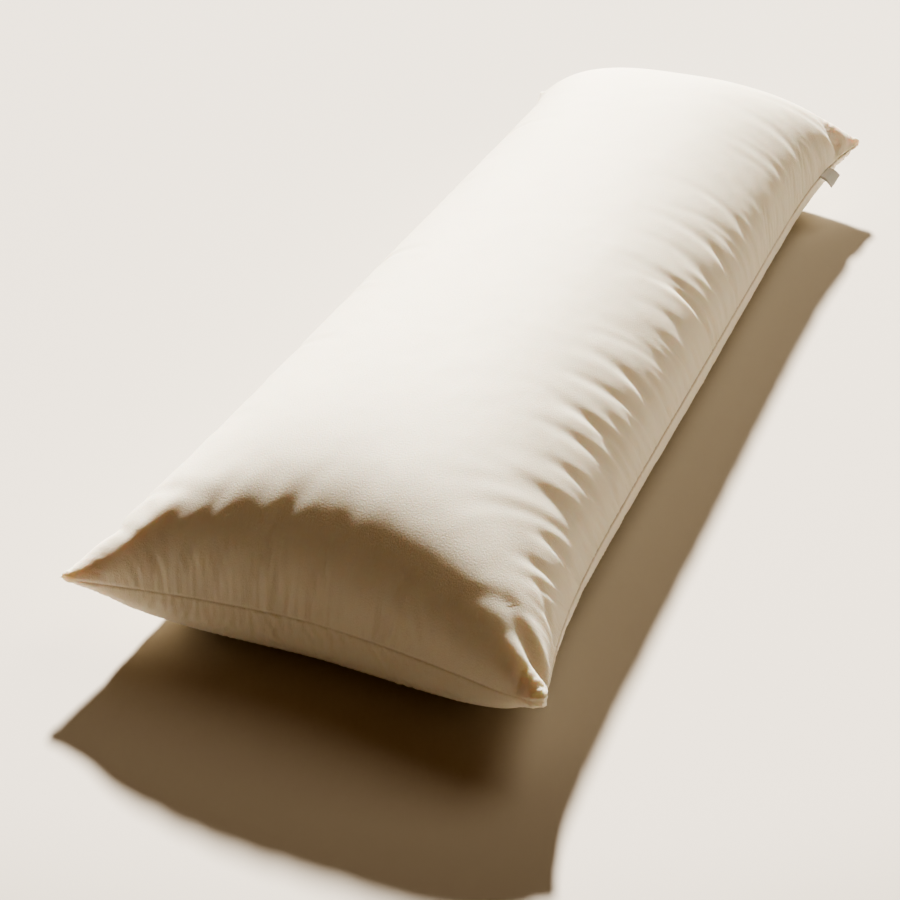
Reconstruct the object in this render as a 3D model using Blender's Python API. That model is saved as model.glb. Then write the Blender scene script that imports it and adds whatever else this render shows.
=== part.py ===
"""A body pillow: two equal panels of cloth sewn together round the edge and filled.

It lies on its back panel, its length along Y and its width along X, with the floor at z = 0
under the middle of the flat spot that it rests on. A short folded tape is caught in the right
side seam. All sizes are in metres.
"""

import math
from collections import namedtuple

import bpy
import numpy as np

# Each panel as cut, from seam to seam: a 20 by 54 inch cushion.
CUT_WIDTH = 0.508
CUT_LENGTH = 1.372

# The seam's outline once the cushion is filled. Its sides draw in between the four ears.
TIP_WIDTH = 0.488
TIP_LENGTH = 1.307
WAIST_WIDTH = 0.410
WAIST_LENGTH = 1.240
SIDE_DRAW = 6.8  # a high power keeps the side straight until close to the ear
END_DRAW = 1.65  # a low one curves the end all the way across
TIP_ROUNDING = 0.005  # how far a tip is drawn in, as the sewn point never turns out fully
TIP_ROUNDING_SIZE = 0.012

# The seam's height above the floor, and what bulges above and below it.
TIP_HEIGHT = 0.079
SIDE_HEIGHT = 0.074
END_HEIGHT = 0.078
CROWN_RISE = 0.135
BELLY_DROP = 0.115
SIDE_BULGE = 0.007  # how far the back panel swells out under the seam
REST_ROUNDING = 0.012  # the turn from the belly into the flat spot

# The crown's section is 1 - |x|^fullness, raised to 1 / roundness, across and along.
CROSS_FULLNESS = 2.39
CROSS_ROUNDNESS = 1.78
LENGTH_FULLNESS = 6.8
LENGTH_ROUNDNESS = 2.2

# Two ears have hardly any filling and are flat, and the two on the right are stuffed.
EAR_SIZE = 0.055
EAR_FLATNESS = {"near left": 0.42, "near right": 0.12, "far left": 0.42, "far right": 0.12}
# The near right one is knocked in a little.
PUSHED_IN = 0.006
PUSH_SIZE = 0.028
PUSH_WAY = (-0.6, 0.8, 0.35)

SEAM_SINK = 0.0022  # the stitches hold the seam in a narrow notch
THIN_EAR = 0.030  # a crease fades out where the cushion is thinner than this

# The folded tape in the right side seam.
LABEL_MIDDLE = 0.536  # along Y
LABEL_WIDTH = 0.032
LABEL_REACH = 0.0195
LABEL_LAYER = 0.0006
LABEL_GAP = 0.0005  # between its two layers
LABEL_DROOP = 0.0105
LABEL_CLEARANCE = 0.0012  # room for the cloth that swells above and below the seam

# The fine grid that the form is worked out on, and the share of its triangles that is kept.
COLUMNS = 96
ROWS = 280
TRIANGLES_KEPT = 0.085

LINEN_WHITE = (0.86, 0.82, 0.74)
TAPE_WHITE = (0.88, 0.87, 0.85)

# A crease runs in from an edge. "at" is its place on the seam, along Y on a side and along X
# on an end, "lean" is how far it has moved along by its inner end, and "reach" is its length.
# A crease with a negative depth is a ridge.
Crease = namedtuple("Crease", "at lean reach depth half_width")

SIDE_CREASES = (
    Crease(-0.623, 0.038, 0.086, 0.0120, 0.0125),
    Crease(-0.573, 0.070, 0.098, 0.0040, 0.0075),
    Crease(-0.513, -0.042, 0.115, 0.0040, 0.0088),
    Crease(-0.478, -0.026, 0.085, 0.0031, 0.0080),
    Crease(-0.420, -0.062, 0.155, 0.0052, 0.0104),
    Crease(-0.376, -0.062, 0.149, 0.0030, 0.0088),
    Crease(-0.341, -0.033, 0.117, 0.0034, 0.0080),
    Crease(-0.291, -0.046, 0.145, 0.0031, 0.0080),
    Crease(-0.263, -0.049, 0.115, 0.0034, 0.0080),
    Crease(-0.226, -0.085, 0.170, 0.0043, 0.0096),
    Crease(-0.167, -0.036, 0.094, 0.0031, 0.0088),
    Crease(-0.139, -0.040, 0.092, 0.0028, 0.0080),
    Crease(-0.085, -0.060, 0.124, 0.0040, 0.0104),
    Crease(-0.041, -0.023, 0.081, 0.0022, 0.0088),
    Crease(0.004, -0.080, 0.175, 0.0041, 0.0088),
    Crease(0.019, -0.054, 0.136, 0.0036, 0.0080),
    Crease(0.043, -0.039, 0.099, 0.0029, 0.0080),
    Crease(0.093, -0.022, 0.087, 0.0024, 0.0104),
    Crease(0.113, -0.004, 0.130, 0.0042, 0.0088),
    Crease(0.181, -0.027, 0.092, 0.0031, 0.0080),
    Crease(0.249, -0.048, 0.108, 0.0038, 0.0096),
    Crease(0.293, -0.045, 0.113, 0.0038, 0.0096),
    Crease(0.345, -0.023, 0.085, 0.0025, 0.0088),
    Crease(0.403, -0.042, 0.113, 0.0046, 0.0096),
    Crease(0.449, -0.023, 0.081, 0.0025, 0.0088),
    Crease(0.496, -0.033, 0.106, 0.0059, 0.0112),
    Crease(0.592, 0.006, 0.090, 0.0135, 0.0190),
)
END_CREASES = (
    Crease(-0.192, 0.100, 0.165, -0.0042, 0.018),
    Crease(-0.164, 0.004, 0.040, 0.0016, 0.007),
    Crease(-0.150, 0.025, 0.165, 0.0024, 0.012),
    Crease(-0.122, 0.038, 0.170, 0.0028, 0.010),
    Crease(-0.092, 0.054, 0.180, 0.0016, 0.014),
    Crease(-0.054, 0.052, 0.200, 0.0030, 0.013),
    Crease(-0.028, 0.002, 0.070, 0.0034, 0.009),
    Crease(0.006, 0.036, 0.190, 0.0026, 0.015),
    Crease(0.076, 0.006, 0.090, 0.0030, 0.014),
    Crease(0.213, 0.002, 0.050, 0.0044, 0.006),
)
# On the left side and the far end the same creases come in the other order, shorter and weaker.
OTHER_SIDE = 0.6
OTHER_REACH = 0.8
# On the back panel they are short and shallow.
BACK_REACH = 0.55
BACK_DEPTH = 0.45


def swell(share, fullness, roundness):
    """The height of a section, from 0 at the seam to 1 in the middle."""
    return (1 - np.abs(share) ** fullness) ** (1 / roundness)


def even_cloth(half_span, rise, fullness, roundness, steps):
    """Places from -1 to 1 across a section that lie equal lengths of cloth apart."""
    fine = np.sin(np.linspace(-math.pi / 2, math.pi / 2, 40 * steps + 1))
    height = rise * swell(fine, fullness, roundness)
    walked = np.hypot(np.diff(fine * half_span), np.diff(height))
    length = np.concatenate([[0], np.cumsum(walked)])
    places = np.interp(np.linspace(0, length[-1], steps + 1), length, fine)
    places[0], places[-1] = -1, 1
    return places


def rest_on_floor(height):
    """The belly's height, made 0 where it would sink into the floor, with a rounded turn."""
    turn = (height + REST_ROUNDING) ** 2 / (4 * REST_ROUNDING)
    return np.where(height > REST_ROUNDING, height, np.where(height > -REST_ROUNDING, turn, 0))


def smooth_step(value):
    value = np.clip(value, 0, 1)
    return value * value * (3 - 2 * value)


def at_corners(x, y, values):
    """A value that is different at the four corners, and blends along the middles."""
    right, far = smooth_step(0.5 + x / 0.2), smooth_step(0.5 + y / 0.2)
    near_value = values["near left"] * (1 - right) + values["near right"] * right
    far_value = values["far left"] * (1 - right) + values["far right"] * right
    return near_value * (1 - far) + far_value * far


def tip_distance(x, y):
    return np.hypot(TIP_WIDTH / 2 - np.abs(x), TIP_LENGTH / 2 - np.abs(y))


class Form:
    """The filled cushion's two panels, each a grid of points over the cloth as cut."""

    def __init__(self):
        across = even_cloth(WAIST_WIDTH / 2, CROWN_RISE, CROSS_FULLNESS, CROSS_ROUNDNESS, COLUMNS)
        along = even_cloth(WAIST_LENGTH / 2, CROWN_RISE, LENGTH_FULLNESS, LENGTH_ROUNDNESS, ROWS)
        self.across, self.along = np.meshgrid(across, along, indexing="ij")
        column, row = np.meshgrid(
            np.linspace(-1, 1, COLUMNS + 1), np.linspace(-1, 1, ROWS + 1), indexing="ij"
        )
        self.to_side = (1 - np.abs(column)) * CUT_WIDTH / 2  # cloth from here to the side seam
        self.to_end = (1 - np.abs(row)) * CUT_LENGTH / 2

    def plan(self):
        """Where each point lies seen from above."""
        side, end = np.abs(self.across), np.abs(self.along)
        half_width = (WAIST_WIDTH + (TIP_WIDTH - WAIST_WIDTH) * end**SIDE_DRAW) / 2
        half_length = (WAIST_LENGTH + (TIP_LENGTH - WAIST_LENGTH) * side**END_DRAW) / 2
        return self.across * half_width, self.along * half_length

    def rounded_plan(self):
        """The plan with its four tips drawn in."""
        x, y = self.plan()
        near_tip = np.exp(-((tip_distance(x, y) / TIP_ROUNDING_SIZE) ** 2))
        drawn_in = TIP_ROUNDING * near_tip / math.sqrt(2)
        return x - np.sign(x) * drawn_in, y - np.sign(y) * drawn_in

    def seam_height(self):
        side, end = np.abs(self.across), np.abs(self.along)
        at_side = SIDE_HEIGHT + (TIP_HEIGHT - SIDE_HEIGHT) * end**6
        near_end = end**8 * (1 - side**4)
        return at_side + (END_HEIGHT - at_side) * near_end

    def fullness(self):
        """How much of the crown's rise is reached: 1 in the middle and 0 on the seam."""
        x, y = self.plan()
        cross = swell(self.across, CROSS_FULLNESS, CROSS_ROUNDNESS)
        full = cross * swell(self.along, LENGTH_FULLNESS, LENGTH_ROUNDNESS)
        ear = np.exp(-((tip_distance(x, y) / EAR_SIZE) ** 2))
        return full * (1 - at_corners(x, y, EAR_FLATNESS) * ear)

    def top(self):
        x, y = self.rounded_plan()
        return np.stack([x, y, self.seam_height() + CROWN_RISE * self.fullness()], axis=-1)

    def back(self):
        x, y = self.rounded_plan()
        seam = self.seam_height()
        z = rest_on_floor(seam - BELLY_DROP * self.fullness())
        swollen = SIDE_BULGE * np.sin(math.pi * np.clip((seam - z) / SIDE_HEIGHT, 0, 1))
        side, end = np.abs(self.across), np.abs(self.along)
        x = x + np.sign(self.across) * swollen * side**6 * (1 - end**10)
        y = y + np.sign(self.along) * swollen * end**10 * (1 - side**8)
        return np.stack([x, y, z], axis=-1)


def outward(points, facing):
    """The unit normals of a panel's grid."""
    normal = facing * np.cross(np.gradient(points, axis=0), np.gradient(points, axis=1))
    return normal / np.maximum(np.linalg.norm(normal, axis=-1, keepdims=True), 1e-12)


def crease_depth(place, from_seam, creases):
    """How far the cloth sinks at each point: troughs, with the cloth pushed up beside them."""
    sunk = np.zeros_like(place)
    for crease in creases:
        share = np.clip(from_seam / crease.reach, 0, 1)
        middle = crease.at + crease.lean * share**1.5
        width = crease.half_width * (0.45 + 0.55 * share)
        offset = ((place - middle) / width) ** 2
        trough = (1 - 0.55 * offset) * np.exp(-0.5 * offset)
        taper = smooth_step(0.3 + share / 0.5) * (1 - smooth_step(share)) ** 1.2
        sunk += crease.depth * trough * taper
    return sunk


def turned_round(creases):
    """The same creases in the other order, shorter and weaker."""
    return [
        Crease(-c.at, -c.lean, OTHER_REACH * c.reach, OTHER_SIDE * c.depth, c.half_width)
        for c in creases
    ]


def all_creases(form, points, reach=1.0, depth=1.0):
    """The creases of all four edges of a panel, each on its own half."""
    x, y = points[..., 0], points[..., 1]

    def scaled(creases):
        return [c._replace(reach=c.reach * reach, depth=c.depth * depth) for c in creases]

    right = crease_depth(y, form.to_side, scaled(SIDE_CREASES))
    left = crease_depth(y, form.to_side, scaled(turned_round(SIDE_CREASES)))
    near = crease_depth(x, form.to_end, scaled(END_CREASES))
    far = crease_depth(x, form.to_end, scaled(turned_round(END_CREASES)))
    return np.where(x > 0, right, left) + np.where(y < 0, near, far)


def creased_panels():
    """The top and back panels with their creases and the seam's notch."""
    form = Form()
    top, back = form.top(), form.back()
    thickness = np.clip((top[..., 2] - back[..., 2]) / THIN_EAR, 0, 1)[..., None]
    top_sunk = all_creases(form, top)[..., None]
    back_sunk = all_creases(form, back, BACK_REACH, BACK_DEPTH)[..., None]
    lifted = np.clip(back[..., 2:] / SIDE_HEIGHT, 0, 1)  # none where it rests
    top = top - outward(top, 1) * top_sunk * thickness
    back = back - outward(back, -1) * back_sunk * thickness * lifted
    top, back = push_in(top), push_in(back)
    for panel in (top, back):
        sink_seam(panel)
    return top, back


def push_in(panel):
    """Knocks the near right ear in, towards the cushion and a little up."""
    distance = np.hypot(panel[..., 0] - TIP_WIDTH / 2, panel[..., 1] + TIP_LENGTH / 2)
    share = np.exp(-((distance / PUSH_SIZE) ** 2))
    return panel + PUSHED_IN * share[..., None] * np.array(PUSH_WAY)


def sink_seam(panel):
    """Draws the panel's edge in, between the cloth that bulges on both sides of it."""
    panel[0, 1:-1, 0] += SEAM_SINK
    panel[-1, 1:-1, 0] -= SEAM_SINK
    panel[1:-1, 0, 1] += SEAM_SINK
    panel[1:-1, -1, 1] -= SEAM_SINK


def cushion_mesh(top, back):
    """One closed mesh: both panels' grids, which share the points of the seam."""
    top_index = np.arange(top[..., 0].size).reshape(top.shape[:2])
    back_index = top_index.copy()
    inside = back_index[1:-1, 1:-1]
    inside[...] = top_index.size + np.arange(inside.size).reshape(inside.shape)
    points = np.concatenate([top.reshape(-1, 3), back[1:-1, 1:-1].reshape(-1, 3)])
    faces = quads(top_index) + quads(back_index[:, ::-1])
    mesh = bpy.data.meshes.new("cushion")
    mesh.from_pydata(np.round(points, 6).tolist(), [], faces)
    return mesh


def quads(index):
    """The faces between neighbouring points of a grid, counter-clockwise seen from its front."""
    corners = (index[:-1, :-1], index[1:, :-1], index[1:, 1:], index[:-1, 1:])
    return np.stack(corners, axis=-1).reshape(-1, 4).tolist()


def label_section():
    """The folded tape's outline in its X and Z: two layers joined by the fold at their outer end."""
    half_gap = LABEL_GAP / 2
    outer = half_gap + LABEL_LAYER
    straight = LABEL_REACH - outer
    turns = np.linspace(math.pi / 2, -math.pi / 2, 9)
    fold_out = [(straight + outer * math.cos(a), outer * math.sin(a)) for a in turns]
    fold_in = [(straight + half_gap * math.cos(a), half_gap * math.sin(a)) for a in turns[::-1]]
    steps = np.linspace(0, straight, 6)[:-1]
    upper = [(x, outer) for x in steps]
    lower = [(x, -outer) for x in steps[::-1]]
    inner_lower = [(x, -half_gap) for x in steps]
    inner_upper = [(x, half_gap) for x in steps[::-1]]
    return upper + fold_out + lower + inner_lower + fold_in + inner_upper


def label_mesh():
    """The tape's section run along the seam, drooping a little towards its fold."""
    section = label_section()
    ends = (-LABEL_WIDTH / 2, LABEL_WIDTH / 2)
    points = [
        (x, y, z - LABEL_DROOP * (x / LABEL_REACH) ** 2) for y in ends for x, z in section
    ]
    count = len(section)
    around = [(i, (i + 1) % count) for i in range(count)]
    sides = [(a, b, count + b, count + a) for a, b in around]
    caps = [tuple(range(count))[::-1], tuple(range(count, 2 * count))]
    mesh = bpy.data.meshes.new("side_label")
    mesh.from_pydata(points, [], sides + caps)
    return mesh


def seam_at_label_ends(seam):
    """The seam's two points beside the ends of the tape."""
    places = (LABEL_MIDDLE - LABEL_WIDTH / 2, LABEL_MIDDLE + LABEL_WIDTH / 2)
    return [
        np.array([np.interp(place, seam[:, 1], seam[:, axis]) for axis in range(3)])
        for place in places
    ]


def finish(name, rgb, roughness):
    material = bpy.data.materials.new(name)
    material.use_nodes = True
    shader = material.node_tree.nodes["Principled BSDF"]
    shader.inputs["Base Color"].default_value = (*rgb, 1)
    shader.inputs["Roughness"].default_value = roughness
    shader.inputs["Metallic"].default_value = 0
    return material


def add_object(name, mesh, material):
    mesh.materials.append(material)
    obj = bpy.data.objects.new(name, mesh)
    bpy.context.scene.collection.objects.link(obj)
    return obj


def build_cushion(top, back):
    mesh = cushion_mesh(top, back)
    mesh.shade_smooth()
    cushion = add_object("cushion", mesh, finish("cotton_sateen", LINEN_WHITE, 0.75))
    thin_out = cushion.modifiers.new("thin out", "DECIMATE")
    thin_out.ratio = TRIANGLES_KEPT
    return cushion


def build_label(seam):
    """Sets the tape's open end along the seam, from one end of the tape to the other."""
    near, far = seam_at_label_ends(seam)
    label = add_object("side_label", label_mesh(), finish("satin_tape", TAPE_WHITE, 0.5))
    label.location = (near + far) / 2 + np.array([LABEL_CLEARANCE, 0, 0])
    label.rotation_euler = (0, 0, -math.atan2(far[0] - near[0], far[1] - near[1]))
    return label


def clear_scene():
    for obj in list(bpy.data.objects):
        bpy.data.objects.remove(obj)


clear_scene()
top_panel, back_panel = creased_panels()
build_cushion(top_panel, back_panel)
build_label(seam=top_panel[-1])
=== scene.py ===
# %% [markdown]
# # Dressing a body pillow
#
# The solids give the pillow's real size and the place of its label. This notebook makes what
# shows: a cotton cover cut as two flat panels, drawn over the filled form as simulated cloth,
# a seam with its stitches, a folded tape label, and the finish of each.
#
# First the solids are loaded as a fixed frame. Everything below is in metres, in that frame:
# the pillow's length is along Y, its width along X, and the floor is at z = 0.

# %% Load the frame
import math
from collections import namedtuple

import bpy
import numpy as np
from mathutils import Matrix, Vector


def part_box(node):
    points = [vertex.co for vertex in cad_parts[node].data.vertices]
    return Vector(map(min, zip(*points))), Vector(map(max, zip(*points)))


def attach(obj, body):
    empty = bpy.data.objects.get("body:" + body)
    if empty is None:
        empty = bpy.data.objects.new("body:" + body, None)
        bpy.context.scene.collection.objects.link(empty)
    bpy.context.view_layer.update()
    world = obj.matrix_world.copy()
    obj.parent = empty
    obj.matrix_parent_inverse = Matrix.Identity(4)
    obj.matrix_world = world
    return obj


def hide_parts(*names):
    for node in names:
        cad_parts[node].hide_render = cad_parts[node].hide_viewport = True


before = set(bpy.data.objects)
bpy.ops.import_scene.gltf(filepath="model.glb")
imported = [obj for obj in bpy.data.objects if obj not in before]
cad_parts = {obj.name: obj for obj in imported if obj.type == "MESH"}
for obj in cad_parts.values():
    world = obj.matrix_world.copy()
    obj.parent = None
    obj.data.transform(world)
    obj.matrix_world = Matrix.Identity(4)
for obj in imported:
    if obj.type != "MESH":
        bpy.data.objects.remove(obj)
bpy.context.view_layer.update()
for solid in ("cushion", "side_label"):
    low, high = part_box(solid)
    print(f"{solid} solid: {[round(top - bottom, 3) for bottom, top in zip(low, high)]} m")


# %% [markdown]
# ## The size of the cut and of the filled pillow
#
# A pillow starts as flat cloth. Filling it makes it shorter and narrower than its cut, because
# the cloth that goes up and over the crown is no longer there along the edge. The seam's sides
# draw in between four ears, which hardly have room for filling and stay thin.
#
# One formula could give the form at any fineness, or a simulation could inflate it from flat.
# Inflating is the natural way, but then nobody chooses the outline. Here a formula gives the
# filled form, and the cloth is simulated over it, so the outline is chosen and the folds are
# the cloth's own.

# %% Sizes
CUT_WIDTH = 0.508
CUT_LENGTH = 1.372

TIP_WIDTH = 0.488  # over the ears
TIP_LENGTH = 1.307
WAIST_WIDTH = 0.410  # in the middle of the sides
WAIST_LENGTH = 1.240
SIDE_DRAW = 6.8  # a high power keeps the side straight until close to the ear
END_DRAW = 1.65  # a low one curves the end all the way across

TIP_HEIGHT = 0.079  # of the seam above the floor
SIDE_HEIGHT = 0.074
END_HEIGHT = 0.078
SIDE_BULGE = 0.007
REST_ROUNDING = 0.012

CROSS_FULLNESS, CROSS_ROUNDNESS = 2.39, 1.78
LENGTH_FULLNESS, LENGTH_ROUNDNESS = 6.8, 2.2

Panel = namedtuple("Panel", "name facing rise mid_width reach_share depth_share")
TOP = Panel("top", 1, 0.135, 0.537, 1.0, 1.0)
BACK = Panel("back", -1, 0.115, 0.503, 0.55, 0.45)
print("the top panel rises", TOP.rise, "m above its seam")


# %% [markdown]
# ## The section of a filled pillow
#
# Cut through a filled pillow and the cut is neither a circle nor an ellipse: it is flat on
# top, with its roundest turn near the seam. A curve with two powers, a superellipse, can be
# tuned to just that, so one rule serves across the pillow and along it.
#
# Under the pillow the same curve would sink into the floor. There its height is cut off at 0,
# with a rounded turn, because cloth over soft filling never meets the floor at a corner.

# %% Sections
def swell(share, fullness, roundness):
    """The height of a section, from 0 at the seam to 1 in the middle."""
    return (1 - np.abs(share) ** fullness) ** (1 / roundness)


def rest_on_floor(height):
    """The belly's height, made 0 where it would sink into the floor, with a rounded turn."""
    turn = (height + REST_ROUNDING) ** 2 / (4 * REST_ROUNDING)
    return np.where(height > REST_ROUNDING, height, np.where(height > -REST_ROUNDING, turn, 0))


def smooth_step(value):
    value = np.clip(value, 0, 1)
    return value * value * (3 - 2 * value)


half_way = float(swell(0.5, CROSS_FULLNESS, CROSS_ROUNDNESS))
print(f"half way to the side the crown still has {half_way:.0%} of its rise")


# %% [markdown]
# ## The four ears
#
# Where two seams meet they pinch the filling out, and the corner stays behind as an ear. How
# flat it is depends on how much filling was pushed into it, so each corner has its own value.
# In between the values blend, because a step in the form would show as a crease.

# %% Ears
EAR_SIZE = 0.055
EAR_FLATNESS = {"near left": 0.42, "near right": 0.12, "far left": 0.42, "far right": 0.12}
TIP_ROUNDING = 0.005  # how far a tip is drawn in, as the sewn point never turns out fully
TIP_ROUNDING_SIZE = 0.012
BLEND = 0.2  # the width over which two corners' values blend


def at_corners(x, y, values):
    """A value that is different at the four corners, and blends along the middles."""
    right, far = smooth_step(0.5 + x / BLEND), smooth_step(0.5 + y / BLEND)
    near_value = values["near left"] * (1 - right) + values["near right"] * right
    far_value = values["far left"] * (1 - right) + values["far right"] * right
    return near_value * (1 - far) + far_value * far


def tip_distance(x, y):
    return np.hypot(TIP_WIDTH / 2 - np.abs(x), TIP_LENGTH / 2 - np.abs(y))


print("flat ears:", ", ".join(name for name, flat in EAR_FLATNESS.items() if flat > 0.3))


# %% [markdown]
# ## The whole form from one formula
#
# A place on the cloth is given as its share of the way from the middle to the seam, from -1
# to 1 in both directions. The form turns that into a place in space. Its plan draws in at the
# waist and at both ends. The crown rises by its two sections multiplied, and the back panel
# drops in the same way. It also swells out a little below the seam, as a full pillow does.
#
# A mesh could be modelled by hand instead. The formula has the advantage that it can be asked
# for a point anywhere, which the threads need further down.

# %% Filled form
def filled_form(across, along, panel):
    """The panel's points, and the seam's height beside each. across and along go from -1 to 1."""
    side, end = np.abs(across), np.abs(along)
    # a high power of side or end keeps a change close to the seam or to the corner
    x = across * (WAIST_WIDTH + (TIP_WIDTH - WAIST_WIDTH) * end**SIDE_DRAW) / 2
    y = along * (WAIST_LENGTH + (TIP_LENGTH - WAIST_LENGTH) * side**END_DRAW) / 2
    at_side = SIDE_HEIGHT + (TIP_HEIGHT - SIDE_HEIGHT) * end**6
    seam = at_side + (END_HEIGHT - at_side) * end**8 * (1 - side**4)
    full = swell(across, CROSS_FULLNESS, CROSS_ROUNDNESS)
    full = full * swell(along, LENGTH_FULLNESS, LENGTH_ROUNDNESS)
    to_tip = tip_distance(x, y)
    full = full * (1 - at_corners(x, y, EAR_FLATNESS) * np.exp(-((to_tip / EAR_SIZE) ** 2)))
    drawn_in = TIP_ROUNDING * np.exp(-((to_tip / TIP_ROUNDING_SIZE) ** 2)) / math.sqrt(2)
    x, y = x - np.sign(x) * drawn_in, y - np.sign(y) * drawn_in
    if panel.facing > 0:
        return np.stack([x, y, seam + panel.rise * full], axis=-1), seam
    z = rest_on_floor(seam - panel.rise * full)
    swollen = SIDE_BULGE * np.sin(math.pi * np.clip((seam - z) / SIDE_HEIGHT, 0, 1))
    x = x + np.sign(across) * swollen * side**6 * (1 - end**10)
    y = y + np.sign(along) * swollen * end**10 * (1 - side**8)
    return np.stack([x, y, z], axis=-1), seam


middle_of_crown = filled_form(np.zeros(1), np.zeros(1), TOP)[0][0]
print(f"the crown stands {middle_of_crown[2]:.3f} m above the floor")


# %% [markdown]
# ## Where the cloth gathers
#
# Along each side the seam is about 5% shorter than the cloth that is sewn to it. The spare
# cloth doesn't shrink: it buckles into creases that start at the seam, run up the side and fade
# out on the shoulder. Real ones are uneven, with a few deep ones and smooth stretches between.
#
# A table says where the creases start and how far they reach. Each one takes a little more than
# its share of the cloth, so that the simulation folds the rest of it in at the same place.

# %% Creases
# "at" is a crease's place on the seam, along Y on a side and along X on an end, "lean" is how
# far it has moved along by its inner end, and "reach" is its length over the cloth. A crease
# with a negative depth is a ridge.
Crease = namedtuple("Crease", "at lean reach depth half_width")

SIDE_CREASES = (
    Crease(-0.623, 0.038, 0.086, 0.0120, 0.0125),
    Crease(-0.573, 0.070, 0.098, 0.0040, 0.0075),
    Crease(-0.513, -0.042, 0.115, 0.0040, 0.0088),
    Crease(-0.478, -0.026, 0.085, 0.0031, 0.0080),
    Crease(-0.420, -0.062, 0.155, 0.0052, 0.0104),
    Crease(-0.376, -0.062, 0.149, 0.0030, 0.0088),
    Crease(-0.341, -0.033, 0.117, 0.0034, 0.0080),
    Crease(-0.291, -0.046, 0.145, 0.0031, 0.0080),
    Crease(-0.263, -0.049, 0.115, 0.0034, 0.0080),
    Crease(-0.226, -0.085, 0.170, 0.0043, 0.0096),
    Crease(-0.167, -0.036, 0.094, 0.0031, 0.0088),
    Crease(-0.139, -0.040, 0.092, 0.0028, 0.0080),
    Crease(-0.085, -0.060, 0.124, 0.0040, 0.0104),
    Crease(-0.041, -0.023, 0.081, 0.0022, 0.0088),
    Crease(0.004, -0.080, 0.175, 0.0041, 0.0088),
    Crease(0.019, -0.054, 0.136, 0.0036, 0.0080),
    Crease(0.043, -0.039, 0.099, 0.0029, 0.0080),
    Crease(0.093, -0.022, 0.087, 0.0024, 0.0104),
    Crease(0.113, -0.004, 0.130, 0.0042, 0.0088),
    Crease(0.181, -0.027, 0.092, 0.0031, 0.0080),
    Crease(0.249, -0.048, 0.108, 0.0038, 0.0096),
    Crease(0.293, -0.045, 0.113, 0.0038, 0.0096),
    Crease(0.345, -0.023, 0.085, 0.0025, 0.0088),
    Crease(0.403, -0.042, 0.113, 0.0046, 0.0096),
    Crease(0.449, -0.023, 0.081, 0.0025, 0.0088),
    Crease(0.496, -0.033, 0.106, 0.0059, 0.0112),
    Crease(0.592, 0.006, 0.090, 0.0135, 0.0190),
)
END_CREASES = (
    Crease(-0.192, 0.100, 0.165, -0.0042, 0.018),
    Crease(-0.164, 0.004, 0.040, 0.0016, 0.007),
    Crease(-0.150, 0.025, 0.165, 0.0024, 0.012),
    Crease(-0.122, 0.038, 0.170, 0.0028, 0.010),
    Crease(-0.092, 0.054, 0.180, 0.0016, 0.014),
    Crease(-0.054, 0.052, 0.200, 0.0030, 0.013),
    Crease(-0.028, 0.002, 0.070, 0.0034, 0.009),
    Crease(0.006, 0.036, 0.190, 0.0026, 0.015),
    Crease(0.076, 0.006, 0.090, 0.0030, 0.014),
    Crease(0.213, 0.002, 0.050, 0.0044, 0.006),
)
print(len(SIDE_CREASES), "creases on a side and", len(END_CREASES), "on an end")


# %% [markdown]
# ## The shape of one crease
#
# A crease is a trough with the cloth pushed up on both sides of it, since what goes down has
# to come from beside it. It is narrow at the stitches, widens as it leaves them, sweeps to
# one side over the shoulder and dies out.
#
# Two rules use that shape. The first says how far the cloth sinks. The second says how much
# cloth the crease takes up, so that the threads crowd into it as they do on a real one.

# %% One crease
GATHER = 0.45  # cloth taken up by a crease, as a share of its depth
MOUTH = 0.45  # a crease's width at the stitches, as a share of its full width
BANKS = 0.55  # how strongly the cloth is pushed up beside a trough
GATHER_WIDTH = 1.3  # the cloth is taken up a little wider than the trough


def crease_shape(crease, place, from_seam):
    """How far along the crease each point lies, from 0 at the seam to 1, and how far off it."""
    share = np.clip(from_seam / crease.reach, 0, 1)
    return share, place - crease.at - crease.lean * share**1.5


def crease_depth(creases, place, from_seam):
    """How far the cloth sinks: troughs, with the cloth pushed up beside them."""
    sunk = np.zeros_like(place)
    for crease in creases:
        share, off = crease_shape(crease, place, from_seam)
        off = (off / (crease.half_width * (MOUTH + (1 - MOUTH) * share))) ** 2
        # not quite full at the seam, deepest a third of the way in, and gone at the inner end
        taper = smooth_step(0.3 + share / 0.5) * (1 - smooth_step(share)) ** 1.2
        sunk += crease.depth * (1 - BANKS * off) * np.exp(-0.5 * off) * taper
    return sunk


def gathered(creases, place, from_seam):
    """The share of extra cloth that the creases take up at each point."""
    extra = np.zeros_like(place)
    for crease in creases:
        share, off = crease_shape(crease, place, from_seam)
        width = GATHER_WIDTH * crease.half_width
        most = GATHER * crease.depth / (width * math.sqrt(math.pi))
        extra += most * np.exp(-((off / width) ** 2)) * (1 - smooth_step(share))
    return extra


deepest = max(SIDE_CREASES, key=lambda crease: crease.depth)
print(f"the deepest crease sinks {deepest.depth * 1000:.1f} mm at y = {deepest.at} m")


# %% [markdown]
# ## The other edges
#
# All four edges are gathered by the same machine, so they crease alike but never the same.
# The left side and the far end take the tables turned end for end, and weaker. Two more tables
# would give them creases of their own, but nobody could tell the difference: the two long sides
# are never seen together, and a pattern that runs the other way round isn't recognised.

# %% Four edges
OTHER_SIDE = 0.6  # the depth of the other edges' creases, as a share
OTHER_REACH = 0.8


def turned_round(creases):
    return [
        Crease(-c.at, -c.lean, OTHER_REACH * c.reach, OTHER_SIDE * c.depth, c.half_width)
        for c in creases
    ]


EDGES = {
    "right": list(SIDE_CREASES),
    "left": turned_round(SIDE_CREASES),
    "near": list(END_CREASES),
    "far": turned_round(END_CREASES),
}
print(sum(len(creases) for creases in EDGES.values()), "named creases on four edges")


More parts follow.
